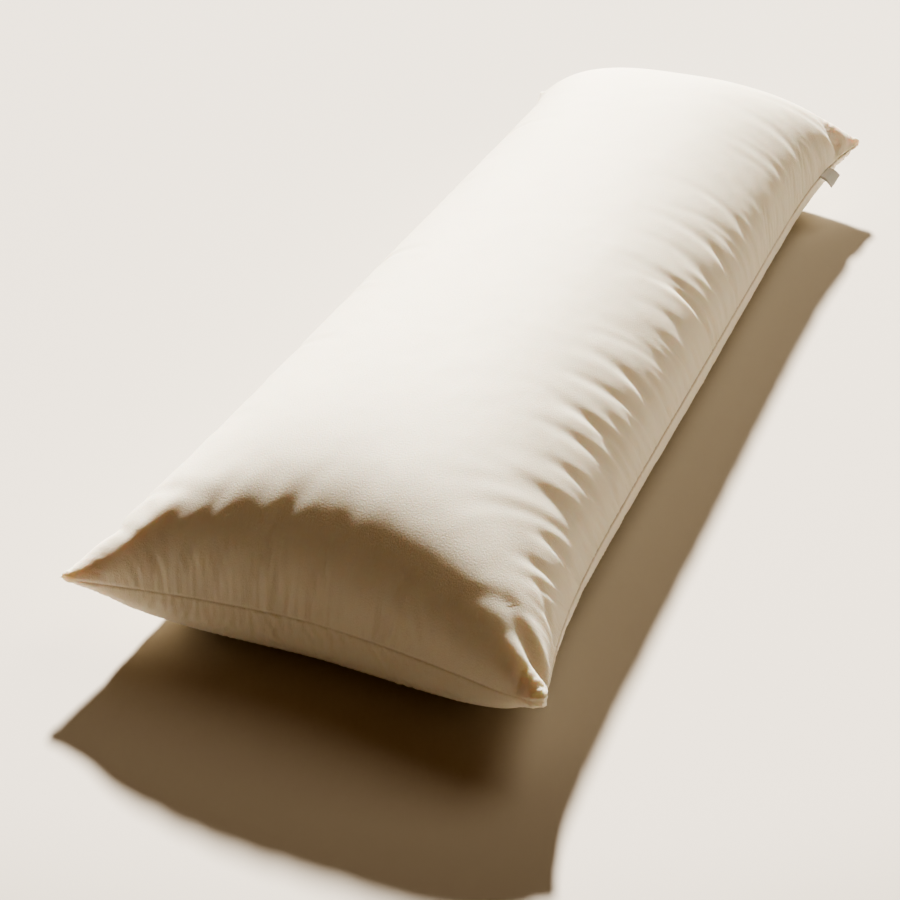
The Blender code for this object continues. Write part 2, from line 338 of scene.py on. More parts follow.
# %% [markdown]
# ## What lies between
#
# Between the named creases lie many slight ones that nobody would place by hand. They come
# from a random generator with a fixed seed: a few long and soft, most of them short and fine.
# With the seed fixed, the pillow is the same one every time the script runs.

# %% Fine creases
FINE_REACH, FINE_REACH_MORE = 0.05, 0.17  # of the shortest, and what the longest has on top
FINE_LEAN, FINE_LEAN_SPREAD = -0.40, 0.15  # as shares of the reach
FINE_DEPTH, FINE_DEPTH_MORE = 0.0014, 0.0034
FINE_WIDTH, FINE_WIDTH_MORE = 0.0040, 0.0030
LONG_SHALLOWER, LONG_WIDER = 0.35, 0.006  # long creases are soft: shallower and wider
END_FINE_DEPTH = 0.5  # the ends are gathered less


def fine_creases(random, count, half_length):
    """Slight creases between the named ones: many short, thin ones and a few long, soft ones."""
    made = []
    for _ in range(count):
        size = random.random() ** 1.5  # the power makes most of them small
        reach = FINE_REACH + FINE_REACH_MORE * size
        made.append(
            Crease(
                at=random.uniform(-half_length, half_length),
                lean=random.normal(FINE_LEAN, FINE_LEAN_SPREAD) * reach,
                reach=reach,
                depth=(FINE_DEPTH + FINE_DEPTH_MORE * random.random())
                * (1 - LONG_SHALLOWER * size),
                half_width=FINE_WIDTH + FINE_WIDTH_MORE * random.random() + LONG_WIDER * size,
            )
        )
    return made


def shallower(creases, share):
    return [crease._replace(depth=share * crease.depth) for crease in creases]


random = np.random.default_rng(5)
FINE = {
    "right": fine_creases(random, 100, 0.60),
    "left": fine_creases(random, 50, 0.60),
    "near": shallower(fine_creases(random, 12, 0.19), END_FINE_DEPTH),
    "far": shallower(fine_creases(random, 12, 0.19), END_FINE_DEPTH),
}
print(sum(len(creases) for creases in FINE.values()), "fine creases round the pillow")


# %% [markdown]
# ## Each crease on its own half
#
# A point feels the creases of the side seam on its half, and of the end seam on its half. One
# helper chooses them, and shortens and weakens them on the back panel. It is handed the rule
# to use, so it serves for the depth and for the cloth taken up.

# %% Creases of a panel
def on_four_edges(rule, panel, points, to_side, to_end, creases=EDGES):
    """The rule for the creases of a panel's sides and of its ends, at each point."""
    right, left, near, far = (
        [
            c._replace(reach=c.reach * panel.reach_share, depth=c.depth * panel.depth_share)
            for c in creases[edge]
        ]
        for edge in ("right", "left", "near", "far")
    )
    x, y = points[..., 0], points[..., 1]
    sides = np.where(x > 0, rule(right, y, to_side), rule(left, y, to_side))
    ends = np.where(y < 0, rule(near, x, to_end), rule(far, x, to_end))
    return sides, ends


for panel in (TOP, BACK):
    print(f"{panel.name}: creases at {panel.reach_share:.0%} reach, {panel.depth_share:.0%} depth")


# %% [markdown]
# ## Laying the threads over the form
#
# The cloth is followed as a grid of threads, about 3.5 mm apart on the flat panel. Where does each
# thread lie on the filled form? Spacing them evenly on one line of the form and copying that to
# the rest leaves all the spare cloth in the corners. So the threads are slid, along the pillow
# and across it in turn, until every one has the same length of cloth between its crossings.

# %% Thread grid
COLUMNS, ROWS = 150, 396
column = np.linspace(-1, 1, COLUMNS + 1)
row = np.linspace(-1, 1, ROWS + 1)
to_side, to_end = np.meshgrid(
    (1 - np.abs(column)) * CUT_WIDTH / 2, (1 - np.abs(row)) * CUT_LENGTH / 2, indexing="ij"
)


def between(values, lines):
    """The middle of each step along the lines."""
    values = np.moveaxis(values, lines, 0)
    return (values[1:] + values[:-1]) / 2


def slide(across, along, panel, lines):
    """Slide the points of every line along it until their steps hold equal lengths of cloth."""
    points = filled_form(across, along, panel)[0]
    steps = np.linalg.norm(np.diff(points, axis=lines), axis=-1)
    spare = on_four_edges(
        gathered, panel, between(points, lines), between(to_side, lines), between(to_end, lines)
    )[0 if lines == 1 else 1]
    steps = np.moveaxis(steps, lines, 0) * (1 + spare)
    walked = np.vstack([np.zeros(steps.shape[1]), np.cumsum(steps, axis=0)])
    moved = [np.moveaxis(values, lines, 0).copy() for values in (across, along)]
    for line in range(walked.shape[1]):
        even = np.linspace(0, walked[-1, line], len(walked))
        for values in moved:
            values[:, line] = np.interp(even, walked[:, line], values[:, line])
    across, along = (np.moveaxis(values, 0, lines) for values in moved)
    across[0], across[-1], along[:, 0], along[:, -1] = -1, 1, -1, 1
    return across, along


print("a panel has", to_side.size, "crossings")


# %% [markdown]
# ## Taking turns
#
# Sliding the threads along the pillow disturbs their spacing across it, and the other way
# round. So the two take turns, and after a few turns little changes any more. The start
# matters less: a sine puts more threads near the seam, where the form turns fastest.

# %% Even grid
SWEEPS = 6


def thread_grid(panel):
    """Where the threads cross, as across and along on the filled form."""
    start = np.sin(column * math.pi / 2), np.sin(row * math.pi / 2)
    across, along = np.meshgrid(*start, indexing="ij")
    for _ in range(SWEEPS):
        across, along = slide(across, along, panel, 1)
        across, along = slide(across, along, panel, 0)
    return slide(across, along, panel, 1)


print("the threads are evened out in", SWEEPS, "turns, both ways in each")


# %% [markdown]
# ## The tips
#
# When a cover is turned right side out, the spare cloth of the seam stays wadded inside every
# tip. So a tip is a little bead and never a perfect point. The near right one has been
# knocked in: behind it the cloth is drawn tight round a neck, with a few crumples.
#
# The simulation can't find folds that are finer than its threads, so these are drawn as small
# heights that are added to the form.

# %% Tips
# The near right ear is knocked in, and its tip is a round knot with a neck.
PUSHED_IN = 0.006
PUSH_SIZE = 0.028
PUSH_WAY = np.array([-0.6, 0.8, 0.35])
KNOT_PUFF, KNOT_PLACE = 0.0010, 0.012
NECK_DEPTH, NECK_PLACE = 0.0012, 0.032
KNOT_SPREAD = 0.012
KNOT_SMOOTH = 0.09  # the cloth round the knot is drawn tight
CRUMPLE, CRUMPLE_SIZE = 0.0013, 0.030
TIP_WAD, WAD_PLACE, WAD_SPREAD = 0.0028, 0.006, 0.009  # seam cloth wadded inside every tip


def ring(distance, place):
    return np.exp(-(((distance - place) / KNOT_SPREAD) ** 2))


def crumples(x, y):
    """Small uneven folds, from -1 to 1, about 12 mm apart."""
    first = np.sin(560 * x + 210 * y + 2.2 * np.sin(330 * y - 90 * x))
    return 0.7 * first + 0.5 * np.sin(240 * x - 480 * y + 1.8 * np.sin(410 * x))


def tip_puff(points, to_knot):
    """How far the cloth is puffed out round the tips, and most of all round the knot."""
    puffed = KNOT_PUFF * ring(to_knot, KNOT_PLACE) - NECK_DEPTH * ring(to_knot, NECK_PLACE)
    puffed += CRUMPLE * crumples(*points[..., :2].T).T * np.exp(-((to_knot / CRUMPLE_SIZE) ** 4))
    to_tip = tip_distance(points[..., 0], points[..., 1])
    return puffed + TIP_WAD * np.exp(-(((to_tip - WAD_PLACE) / WAD_SPREAD) ** 2))


print(f"a tip is wadded out by {TIP_WAD * 1000:.1f} mm")


# %% [markdown]
# ## The form that the cloth is drawn to
#
# Now it comes together: the form, its named and fine creases, and the tips. All of these are
# heights along the form's own normals, so that a crease sinks into the pillow wherever it
# runs. They fade where an ear is too thin to sink into, and where the back panel rests on the
# floor.

# %% Drawn form
THIN_EAR = 0.030  # a crease fades out where the cushion is thinner than this
SEAM_KEPT = 0.004  # the tips' heights start this far from the seam


def grid_normals(points, panel):
    normals = np.cross(np.gradient(points, axis=0), np.gradient(points, axis=1)) * panel.facing
    return normals / np.maximum(np.linalg.norm(normals, axis=-1, keepdims=True), 1e-12)


def creased_form(panel):
    """The points that the cloth is drawn to: the filled form with its creases."""
    points, seam = filled_form(*thread_grid(panel), panel)
    sunk = sum(on_four_edges(crease_depth, panel, points, to_side, to_end))
    to_knot = np.hypot(points[..., 0] - TIP_WIDTH / 2, points[..., 1] + TIP_LENGTH / 2)
    fine = sum(on_four_edges(crease_depth, panel, points, to_side, to_end, FINE))
    sunk = sunk + fine * (1 - np.exp(-((to_knot / KNOT_SMOOTH) ** 4)))
    sunk = sunk * np.clip(np.abs(points[..., 2] - seam) * 2 / THIN_EAR, 0, 1)
    if panel is BACK:
        sunk = sunk * np.clip(points[..., 2] / SIDE_HEIGHT, 0, 1)
    off_seam = np.clip(np.minimum(to_side, to_end) / SEAM_KEPT, 0, 1)
    raised = tip_puff(points, to_knot) * off_seam - sunk
    points = points + grid_normals(points, panel) * raised[..., None]
    return points + PUSHED_IN * np.exp(-((to_knot / PUSH_SIZE) ** 2))[..., None] * PUSH_WAY


targets = {panel.name: creased_form(panel) for panel in (TOP, BACK)}
for name, points in targets.items():
    seam_run = np.linalg.norm(np.diff(points[-1], axis=0), axis=-1).sum()
    print(f"{name}: the right seam runs {seam_run:.3f} m, its cloth {CUT_LENGTH} m")


# %% [markdown]
# ## Filling the cover
#
# Each panel starts flat and as large as it was cut, so the springs between its threads are at
# rest there. Over twelve frames its edge is moved to the seam of the filled pillow, and a soft
# pull draws the rest of it to the filled form. The pull is firm over the crown, where the
# filling presses the cloth smooth, and weak near the seam and in the ears, where the spare
# cloth has to find its own way to fold.
#
# Both panels are simulated in the same frames, but apart: they share only their edge, and that
# is held, so they still meet.

# %% Flat panels
FILL_FRAMES, SETTLE_FRAMES = 12, 8
SLACK = 0.985  # cloth is taken as a little shorter than its cut, for the seam's own take-up
END_WIDTH = 0.512  # of the flat panel, which is wider in the middle where the crown is fullest


def grid_quads(index):
    corners = index[:-1, :-1], index[1:, :-1], index[1:, 1:], index[:-1, 1:]
    return np.stack(corners, axis=-1).reshape(-1, 4)


def flat_panel(panel):
    width = END_WIDTH + (panel.mid_width - END_WIDTH) * (1 - np.abs(row) ** 3)
    x = column[:, None] * width / 2
    y = np.broadcast_to(row * CUT_LENGTH * SLACK / 2, x.shape)
    return np.stack([x, y, np.full_like(x, SIDE_HEIGHT)], axis=-1)


flat_low, flat_high = (pick(flat_panel(TOP), axis=(0, 1)) for pick in (np.min, np.max))
print("the top panel lies flat over", np.round(flat_high - flat_low, 3)[:2], "m")


# %% [markdown]
# ## How firmly the filling presses
#
# Each crossing of threads gets a weight in a vertex group, and the weight says how firmly it
# is drawn to the form: 1 holds it altogether, as on the seam. Blender raises the weight to
# the fourth power before it uses it, so a firmness is turned into a weight by its fourth
# root.
#
# Filling is lumpy, so the firmness is made patchy too. An even one would fold the cloth
# evenly, and even folds look like a pleated curtain.

# %% Hold
HOLD_DISTANCE = (0.0, 0.02, 0.05, 0.09, 0.13)  # from the seam
HOLD = (0.015, 0.03, 0.07, 0.15, 0.35)
FLOOR_HEIGHT = (0.0, 0.01, 0.03)  # of the back panel
FLOOR_HOLD = (0.4, 0.2, 0.0)
EAR_HOLD, EAR_REACH = 0.15, 0.10
TIP_HELD = 0.014
PATCHINESS = 0.8
KNOT_HELD = 0.085  # this near the squashed tip, the cloth is held altogether
KNOT_EASED = (0.5, 0.0)  # beyond that, the hold eases off
KNOT_EASING = 0.06
MOST_HOLD = 0.84  # the largest weight away from the seam


def patches(x, y):
    """An uneven pattern of patches about 8 cm across, from -1 to 1."""
    return np.sin(71 * x + 3 * np.sin(23 * y)) * np.sin(83 * y + 2 * np.sin(31 * x) + 1)


def hold(panel, target):
    """How firmly each point is drawn to the filled form, with 1 on the seam."""
    firm = np.interp(np.minimum(to_side, to_end), HOLD_DISTANCE, HOLD)
    ear = np.exp(-((np.hypot(to_side, to_end) / EAR_REACH) ** 2))
    firm = firm * (1 - ear) + EAR_HOLD * ear
    x, y = target[..., 0], target[..., 1]
    firm = firm * np.exp(PATCHINESS * patches(x, y))
    if panel is BACK:
        firm = np.maximum(firm, np.interp(target[..., 2], FLOOR_HEIGHT, FLOOR_HOLD))
    to_knot = np.hypot(x - TIP_WIDTH / 2, y + TIP_LENGTH / 2)
    easing = (KNOT_HELD, KNOT_HELD + KNOT_EASING)
    firm = np.maximum(firm, np.interp(to_knot, easing, KNOT_EASED))
    weight = np.minimum(firm**0.25, MOST_HOLD)
    weight[0], weight[-1], weight[:, 0], weight[:, -1] = 1, 1, 1, 1
    weight[(to_knot < KNOT_HELD) | (tip_distance(x, y) < TIP_HELD)] = 1
    return weight


firm = hold(TOP, targets["top"]) ** 4
print(f"hold: {firm[1:-1, 1:-1].min():.3f} at its weakest, {np.median(firm):.2f} in the middle")


# %% [markdown]
# ## Cotton as springs
#
# Blender's cloth is a net of springs. The ones along the threads are stiff, the ones across
# its squares are softer and let it shear, and the ones that resist bending are weak, because
# sateen is thin and limp. Damping keeps the net from ringing. Gravity is left out: the
# filling presses far harder than the cloth weighs, and its pressure is what the pull stands
# for.
#
# The start shape is the flat panel, so that is where the springs are at rest. The filled form
# is a shape key, and the pull follows its value from 0 to 1.

# %% Cloth
def keyed_panel(panel, target):
    """A flat panel whose shape key moves its goal to the filled form."""
    mesh = bpy.data.meshes.new(panel.name + "_cloth")
    index = np.arange(target[..., 0].size).reshape(target.shape[:2])
    mesh.from_pydata(flat_panel(panel).reshape(-1, 3).tolist(), [], grid_quads(index).tolist())
    cloth = bpy.data.objects.new(mesh.name, mesh)
    bpy.context.scene.collection.objects.link(cloth)

    cloth.shape_key_add(name="flat")
    filled = cloth.shape_key_add(name="filled")
    filled.data.foreach_set("co", target.astype(np.float32).ravel())
    for value, key_frame in ((0, 1), (1, FILL_FRAMES)):
        filled.value = value
        filled.keyframe_insert("value", frame=key_frame)
    return cloth, index


def cloth_object(panel, target):
    cloth, index = keyed_panel(panel, target)
    pin = cloth.vertex_groups.new(name="hold")
    weights = np.round(hold(panel, target), 3)
    for weight in np.unique(weights):
        pin.add(index[weights == weight].tolist(), float(weight), "REPLACE")

    modifier = cloth.modifiers.new("cloth", "CLOTH")
    settings = modifier.settings
    settings.quality = 5
    settings.mass = 0.15
    settings.air_damping = 2
    settings.tension_stiffness = settings.compression_stiffness = 20
    settings.shear_stiffness = 5
    settings.bending_stiffness = 0.5
    settings.tension_damping = settings.compression_damping = settings.shear_damping = 5
    settings.bending_damping = 0.5
    settings.vertex_group_mass = "hold"
    settings.pin_stiffness = 1
    settings.effector_weights.gravity = 0
    modifier.collision_settings.use_collision = False
    modifier.point_cache.frame_start = 1
    modifier.point_cache.frame_end = FILL_FRAMES + SETTLE_FRAMES
    return cloth


print("simulated frames:", FILL_FRAMES + SETTLE_FRAMES)


# %% [markdown]
# ## Letting it settle
#
# The frames are stepped one after another, since each starts from the last one's speed. A few
# more frames without a change let the folds come to rest. Then the points are read, and the
# simulated objects go: what is kept is a plain mesh, which is the same on every run.

# %% Simulate the cloth
def settled(cloth, shape):
    """The cloth's points as they now lie."""
    shown = cloth.evaluated_get(bpy.context.evaluated_depsgraph_get()).data
    points = np.empty(len(shown.vertices) * 3, np.float32)
    shown.vertices.foreach_get("co", points)
    return points.reshape(shape).astype(float)


def remove(*objects):
    for obj in objects:
        bpy.data.objects.remove(obj)


def simulate():
    """The points of both panels after the last frame."""
    cloths = [cloth_object(panel, targets[panel.name]) for panel in (TOP, BACK)]
    for step in range(1, FILL_FRAMES + SETTLE_FRAMES + 1):
        bpy.context.scene.frame_set(step)
    draped = {p.name: settled(c, targets[p.name].shape) for p, c in zip((TOP, BACK), cloths)}
    remove(*cloths)
    bpy.context.scene.frame_set(1)
    return draped


draped = simulate()
for name, points in draped.items():
    points[..., 2] = np.maximum(points[..., 2], 0)  # nothing sinks into the floor
    moved = np.linalg.norm(points - targets[name], axis=-1) * 1000
    print(f"{name}: the cloth left its target by {moved.mean():.1f} mm, {moved.max():.1f} at most")


# %% [markdown]
# ## Sewing the panels together
#
# On a real cover the two edges are stitched inside out and then turned, so outside there is
# only a narrow valley where one panel dives in beside the other. The grid's steps can't
# show that. Three extra rings of points are put beside the seam, and a small profile across
# them lets the cloth roll over into the valley.

# %% Rings beside the seam
RINGS = (0.0008, 0.0018, 0.0032)


def with_rings(values):
    """A grid's values, with the rings put in beside all four edges."""
    for axis, spacing in ((0, CUT_WIDTH / COLUMNS), (1, CUT_LENGTH / ROWS)):
        last = values.shape[axis] - 1
        rings = np.array(RINGS) / spacing
        place = np.concatenate([[0], rings, np.arange(1, last), last - rings[::-1], [last]])
        before = np.minimum(place.astype(int), last - 1)
        share = (place - before).reshape([-1 if a == axis else 1 for a in range(values.ndim)])
        low, high = np.take(values, before, axis), np.take(values, before + 1, axis)
        values = low + (high - low) * share
    return values


print("rings beside the seam:", len(RINGS))


# %% [markdown]
# ## One number for each point of the seam
#
# The panels meet in a line of points that belongs to both. So the back panel's edge takes the
# numbers of the top panel's edge, and only its inside gets numbers of its own. The cover is
# then closed without merging anything afterwards.

# %% Join the panels
top_points, back_points = (with_rings(draped[panel.name]) for panel in (TOP, BACK))
side_distance, end_distance = with_rings(to_side), with_rings(to_end)
top_index = np.arange(side_distance.size).reshape(side_distance.shape)
inside = np.zeros(top_index.shape, bool)
inside[1:-1, 1:-1] = True
back_index = top_index.copy()
back_index[inside] = top_index.size + np.arange(inside.sum())

cover_points = np.concatenate([top_points.reshape(-1, 3), back_points[inside]])
cover_faces = np.concatenate([grid_quads(top_index), grid_quads(back_index)[:, ::-1]])
cover_to_side = np.concatenate([side_distance.ravel(), side_distance[inside]])
cover_to_end = np.concatenate([end_distance.ravel(), end_distance[inside]])
print("cover:", len(cover_points), "points,", len(cover_faces), "faces")


# %% [markdown]
# ## Rolling the cloth into the valley
#
# The profile is a short list of heights over distances from the seam: deep at the stitches, a
# slight lip, then level. The ends are hardly gathered, so their seam sinks less. At the tips
# it fades out, because the wad inside fills it.

# %% Valley
VALLEY_DISTANCE = (0.0, 0.0008, 0.0018, 0.0032, 0.0055, 0.010)
VALLEY = (-0.0024, -0.0006, 0.0004, 0.0006, 0.0003, 0.0)
END_VALLEY = 0.25
TIP_BLUNTED = 0.025  # the valley fades out this near the tips


def point_normals(points, faces):
    normals = np.zeros_like(points)
    corners = points[faces]
    face_normals = np.cross(corners[:, 2] - corners[:, 0], corners[:, 3] - corners[:, 1])
    for corner in range(4):
        np.add.at(normals, faces[:, corner], face_normals)
    return normals / np.maximum(np.linalg.norm(normals, axis=1, keepdims=True), 1e-15)


rolled = np.interp(np.minimum(cover_to_side, cover_to_end), VALLEY_DISTANCE, VALLEY)
rolled *= smooth_step(np.hypot(cover_to_side, cover_to_end) / TIP_BLUNTED)
rolled *= np.where(cover_to_end < cover_to_side, END_VALLEY, 1)
cover_points += point_normals(cover_points, cover_faces) * rolled[:, None]
cover_points[:, 2] = np.maximum(cover_points[:, 2], 0)

seam_line = np.concatenate(
    [top_index[:-1, 0], top_index[-1, :-1], top_index[:0:-1, -1], top_index[0, :0:-1]]
)
seam_points = cover_points[seam_line]
print("seam line:", len(seam_line), "points")


# %% [markdown]
# ## The cover as one mesh
#
# Up to here the cover is only lists of points and faces. Now they become a mesh, with an object
# that shows it. The object stays at the origin, unturned and unscaled, and the pillow's place is
# in its points. A pattern that is read from the object can't slide over the cloth that way.

# %% Cover mesh
def mesh_object(name, points, faces):
    """A smooth mesh at the origin, with its place in the points."""
    mesh = bpy.data.meshes.new(name)
    mesh.from_pydata(np.asarray(points).tolist(), [], np.asarray(faces).tolist())
    mesh.shade_smooth()
    obj = bpy.data.objects.new(name, mesh)
    bpy.context.scene.collection.objects.link(obj)
    return obj


cover = mesh_object("cover", cover_points, cover_faces)
low, high = cover_points.min(axis=0), cover_points.max(axis=0)
print("cover:", [round(float(size), 3) for size in high - low], "m")


# %% [markdown]
# ## The cloth map
#
# The finish needs to know where each bit of cloth was on the flat panel, because threads run
# straight there. That is what the UV map holds, in metres. Each panel keeps its own flat place
# on it, with the back panel moved one metre aside so that the two don't share the same bits of
# weave.
#
# Two more values, the distances to the side seam and to the end seam, tell the finish where the
# cloth is gathered.

# %% Cloth map
def set_cloth_map(obj, corners):
    """A UV map from one (u, v) pair for each corner of each face."""
    layer = obj.data.uv_layers.new(name="cloth")
    layer.data.foreach_set("uv", np.asarray(corners, np.float32).ravel())


def set_value(obj, name, values):
    attribute = obj.data.attributes.new(name, "FLOAT", "POINT")
    attribute.data.foreach_set("value", np.asarray(values, np.float32))


flat_x = with_rings(np.broadcast_to(column[:, None] * CUT_WIDTH / 2, to_side.shape))
flat_y = with_rings(np.broadcast_to(row * CUT_LENGTH / 2, to_side.shape))
flat_place = np.stack([flat_x, flat_y], axis=-1).reshape(-1, 2)
panel_corners = grid_quads(top_index)
set_cloth_map(
    cover,
    np.concatenate([flat_place[panel_corners], flat_place[panel_corners[:, ::-1]] + (1, 0)]),
)
set_value(cover, "to_side", cover_to_side)
set_value(cover, "to_end", cover_to_end)
print("on the map each panel is", np.round(np.ptp(flat_place, axis=0), 3), "m")


# %% [markdown]
# ## Seam stitches
#
# A lockstitch seam that is pulled by the filling opens a little, and its thread shows in the
# valley as a row of tiny bars, one for each stitch. They repeat at the machine's stitch length,
# so one bar is laid along the seam line by a node tree: change the pitch, and the whole seam
# is sewn anew.

# %% Node helpers
STITCH_PITCH = 0.0028
STITCH_LENGTH = 0.0022  # of the bit of thread that crosses the valley
THREAD_THICKNESS = 0.00035


def new_tree(name, inputs):
    """A geometry node tree with its named inputs, each a (kind, default) pair."""
    tree = bpy.data.node_groups.new(name, "GeometryNodeTree")
    tree.interface.new_socket("Geometry", in_out="INPUT", socket_type="NodeSocketGeometry")
    for label, (kind, default) in inputs.items():
        socket = tree.interface.new_socket(label, in_out="INPUT", socket_type=kind)
        if default is not None:
            socket.default_value = default
    tree.interface.new_socket("Geometry", in_out="OUTPUT", socket_type="NodeSocketGeometry")
    return tree


def add_node(tree, kind, inputs=None, **settings):
    """A node with its settings, and its inputs either linked or given a value."""
    node = tree.nodes.new(kind)
    for name, value in settings.items():
        setattr(node, name, value)
    for key, value in (inputs or {}).items():
        if isinstance(value, bpy.types.NodeSocket):
            tree.links.new(value, node.inputs[key])
        else:
            node.inputs[key].default_value = value
    return node


print(f"a stitch every {STITCH_PITCH * 1000:.1f} mm, thread {THREAD_THICKNESS * 1000:.2f} mm thick")


# %% [markdown]
# ## One bar of thread
#
# What shows of a stitch is 2 mm of thread between two needle holes, pulled tight at both, so it
# is thickest half way. A tiny ball that is stretched along the seam has that shape. It has few
# faces, because it is repeated more than a thousand times.
#
# The thread is pulled by turns from above and from below, so hardly any bar lies quite along
# the seam. A random angle between a least and a most one does the same.

# %% Bar of thread
STITCH_LEAN = 0.35  # radians at most
LEAST_LEAN = 0.3  # as a share of the most
STITCH_SEED = 7


def thread_bar(tree, given):
    """One bar, as long and as thick as the tree's inputs say."""
    ball = add_node(tree, "GeometryNodeMeshUVSphere", {"Segments": 6, "Rings": 5, "Radius": 0.5})
    shape = add_node(
        tree,
        "ShaderNodeCombineXYZ",
        {"X": given["Thickness"], "Y": given["Thickness"], "Z": given["Length"]},
    )
    return add_node(
        tree, "GeometryNodeTransform", {"Geometry": ball.outputs["Mesh"], "Scale": shape.outputs[0]}
    )


def bar_lean(tree, given):
    """A random turn for each bar, about the axis that is square to the seam."""
    lean = add_node(tree, "FunctionNodeRandomValue", {"Seed": given["Seed"]}, data_type="FLOAT")
    least = add_node(
        tree, "ShaderNodeMath", {0: given["Lean"], 1: LEAST_LEAN}, operation="MULTIPLY"
    )
    tree.links.new(least.outputs[0], lean.inputs[2])
    tree.links.new(given["Lean"], lean.inputs[3])
    return add_node(tree, "ShaderNodeCombineXYZ", {"Y": lean.outputs[1]})


print(f"a bar leans {math.degrees(STITCH_LEAN):.0f} degrees at most")


# %% [markdown]
# ## The tree that sews
#
# The tree turns the seam line into a curve, marks it at every pitch, and sets a bar on each
# mark, turned to the curve and then leant. At its end the copies are made real and given the
# thread's finish.
#
# A loop in Python could place the bars too. The tree can be changed in Blender by its named
# inputs without reading any code.

# %% Stitch tree
def stitch_tree():
    tree = new_tree(
        "seam stitches",
        {
            "Pitch": ("NodeSocketFloat", STITCH_PITCH),
            "Length": ("NodeSocketFloat", STITCH_LENGTH),
            "Thickness": ("NodeSocketFloat", THREAD_THICKNESS),
            "Lean": ("NodeSocketFloat", STITCH_LEAN),
            "Seed": ("NodeSocketInt", STITCH_SEED),
            "Thread": ("NodeSocketMaterial", None),
        },
    )
    given = add_node(tree, "NodeGroupInput").outputs
    line = add_node(tree, "GeometryNodeMeshToCurve", {"Mesh": given["Geometry"]})
    marks = add_node(
        tree,
        "GeometryNodeResampleCurve",
        {"Curve": line.outputs["Curve"], "Length": given["Pitch"]},
        mode="LENGTH",
    )
    bar = thread_bar(tree, given)
    heading = add_node(tree, "GeometryNodeInputTangent")
    turn = add_node(
        tree, "FunctionNodeAlignRotationToVector", {"Vector": heading.outputs[0]}, axis="X"
    )
    placed = add_node(
        tree,
        "GeometryNodeInstanceOnPoints",
        {
            "Points": marks.outputs["Curve"],
            "Instance": bar.outputs["Geometry"],
            "Rotation": turn.outputs["Rotation"],
        },
    )
    about = bar_lean(tree, given)
    leaning = add_node(
        tree,
        "GeometryNodeRotateInstances",
        {"Instances": placed.outputs["Instances"], "Rotation": about.outputs[0]},
    )
    real = add_node(
        tree, "GeometryNodeRealizeInstances", {"Geometry": leaning.outputs["Instances"]}
    )
    smooth = add_node(tree, "GeometryNodeSetShadeSmooth", {"Geometry": real.outputs["Geometry"]})
    finished = add_node(
        tree,
        "GeometryNodeSetMaterial",
        {"Geometry": smooth.outputs["Geometry"], "Material": given["Thread"]},
    )
    add_node(tree, "NodeGroupOutput", {"Geometry": finished.outputs["Geometry"]})
    return tree


sewing = stitch_tree()
print("stitch tree:", len(sewing.nodes), "nodes")


# %% [markdown]
# ## Growing the stitches
#
# The modifier runs the tree on the seam line, and its result is copied out as a plain mesh.
# Its inputs are set by their identifiers, as names can change with the language. The line
# stops short of the tips, where the seam is wadded shut.

# %% Stitches
def grown(name, carrier, tree, values):
    """What a node tree makes on a carrier object, as a plain mesh; the carrier is removed."""
    modifier = carrier.modifiers.new("grow", "NODES")
    modifier.node_group = tree
    for item in tree.interface.items_tree:
        if item.in_out == "INPUT" and item.name in values:
            modifier[item.identifier] = values[item.name]
    bpy.context.view_layer.update()
    evaluated = carrier.evaluated_get(bpy.context.evaluated_depsgraph_get())
    mesh = bpy.data.meshes.new_from_object(evaluated)
    mesh.name = name
    obj = bpy.data.objects.new(name, mesh)
    bpy.context.scene.collection.objects.link(obj)
    remove(carrier)
    return obj


def line_object(name, points, kept):
    """A closed loop of edges, without those at the points that are not kept."""
    mesh = bpy.data.meshes.new(name)
    pairs = [(i, (i + 1) % len(points)) for i in range(len(points))]
    mesh.from_pydata(points.tolist(), [(i, j) for i, j in pairs if kept[i] and kept[j]], [])
    obj = bpy.data.objects.new(name, mesh)
    bpy.context.scene.collection.objects.link(obj)
    return obj


thread_finish = bpy.data.materials.new("sewing thread")
in_open = tip_distance(seam_points[:, 0], seam_points[:, 1]) > TIP_BLUNTED
stitches = grown(
    "seam_stitches",
    line_object("seam_line", seam_points, in_open),
    sewing,
    {"Thread": thread_finish},
)
seam_length = np.linalg.norm(seam_points - np.roll(seam_points, 1, axis=0), axis=1).sum()
print(f"seam: {seam_length:.2f} m, about {seam_length / STITCH_PITCH:.0f} stitches")


# %% [markdown]
# ## The side label
#
# The label is a strip of woven satin tape. It is folded double and caught in the seam with both
# ends, so its fold is the outer edge and its cut ends are hidden. Here it is drawn as the tape
# runs: out on top, round the fold and back below, with the tape's own thickness, then drooped
# the way a short stiff tape droops. It is left blank.

# %% Tape line
LABEL_MIDDLE = 0.536  # along Y
LABEL_WIDTH = 0.032
LABEL_REACH = 0.0195
LABEL_ROOT = 0.0012  # tucked into the valley
TAPE_THICKNESS = 0.00035
TAPE_FOLD = 0.00055  # the fold's radius
TAPE_PUFF = 0.0005  # how far the two layers stand apart half way


def tape_line():
    """The tape's middle line across the label, as (out, up), from root to fold to root."""
    out = np.linspace(-LABEL_ROOT, LABEL_REACH - TAPE_FOLD, 14)
    up = TAPE_FOLD + TAPE_PUFF * np.sin(math.pi * np.clip(out / LABEL_REACH, 0, 1))
    angles = np.linspace(math.pi / 2, -math.pi / 2, 9)[1:-1]
    fold = np.stack(
        [LABEL_REACH - TAPE_FOLD + TAPE_FOLD * np.cos(angles), TAPE_FOLD * np.sin(angles)], axis=1
    )
    above = np.stack([out, up], axis=1)
    return np.concatenate([above, fold, above[::-1] * (1, -1)])


